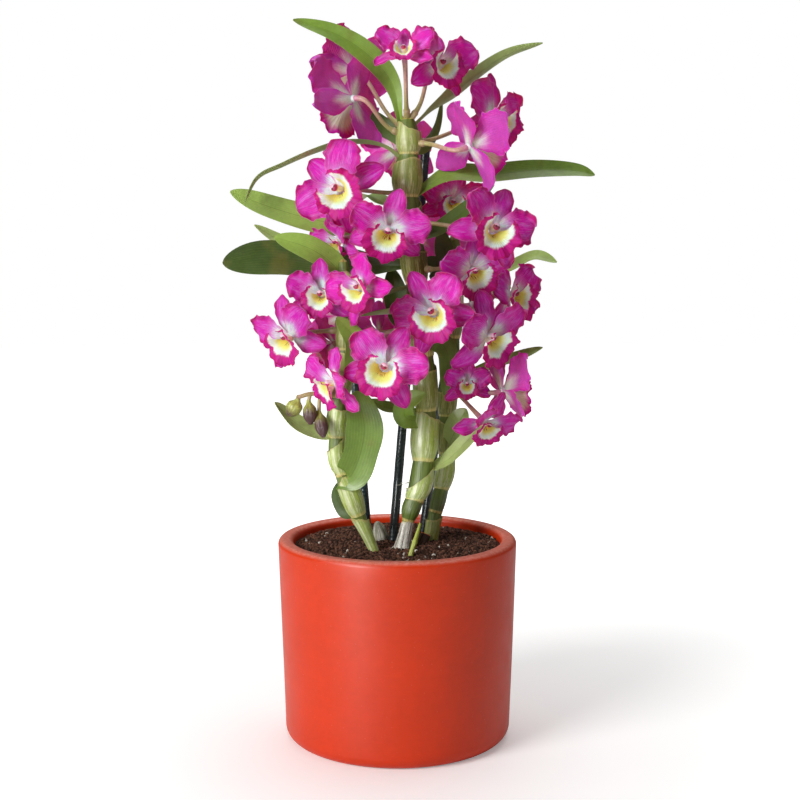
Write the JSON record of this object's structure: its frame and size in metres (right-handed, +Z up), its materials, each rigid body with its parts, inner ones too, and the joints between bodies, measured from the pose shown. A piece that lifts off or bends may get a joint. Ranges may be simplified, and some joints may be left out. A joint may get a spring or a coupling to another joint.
{
  "type": "dendrobium orchid",
  "caption": "Noble dendrobium orchid with jointed leafy canes, clusters of magenta flowers with cream and yellow lips, support stakes, and potting mix in a plain round coral-red pot.",
  "frame": {"origin": "centre of the pot's flat base, which rests on the surface", "axes": "+Z up along the pot's axis; -Y faces the viewer of the picture; +X is to that viewer's right"},
  "size_m": [0.2325, 0.1554, 0.4501],
  "materials": {
    "coral_pot": "matte",
    "potting_soil": "matte",
    "green_stake": "satin",
    "cane_and_leaf": "satin",
    "flower_magenta": "matte",
    "flower_bud": "satin",
    "dry_bulb": "matte",
    "young_shoot": "satin",
    "dark_stump": "matte"
  },
  "bodies": {
    "root": {"pot": "coral_pot", "soil": "potting_soil", "stake_left": "green_stake", "stake_middle": "green_stake", "stake_right": "green_stake", "cane_left": "cane_and_leaf", "cane_middle": "cane_and_leaf", "cane_right": "cane_and_leaf", "bloom_top_back_left": "flower_magenta", "bloom_top_left": "flower_magenta", "bloom_crown": "flower_magenta", "bloom_crown_right": "flower_magenta", "bloom_top_right": "flower_magenta", "bloom_top_far_right": "flower_magenta", "bloom_upper_left": "flower_magenta", "bloom_upper_middle": "flower_magenta", "bloom_upper_shade": "flower_magenta", "bloom_upper_right": "flower_magenta", "bloom_right_slope": "flower_magenta", "bloom_left_round": "flower_magenta", "bloom_left_front": "flower_magenta", "bloom_far_left": "flower_magenta", "bloom_left_under": "flower_magenta", "bloom_low_left": "flower_magenta", "bloom_low_front": "flower_magenta", "bloom_inner": "flower_magenta", "bloom_centre": "flower_magenta", "bloom_right_inner": "flower_magenta", "bloom_right_front": "flower_magenta", "bloom_far_right": "flower_magenta", "bloom_low_shade": "flower_magenta", "bloom_low_right": "flower_magenta", "bloom_lowest_right": "flower_magenta", "bloom_rear_top": "flower_magenta", "bloom_rear_upper": "flower_magenta", "bloom_rear_left": "flower_magenta", "bloom_rear_low": "flower_magenta", "bloom_rear_right": "flower_magenta", "bloom_upper_under": "flower_magenta", "bud_spray": "flower_bud", "old_bulb": "dry_bulb", "young_shoot": "young_shoot", "cut_stump": "dark_stump"}
  },
  "joints": []
}
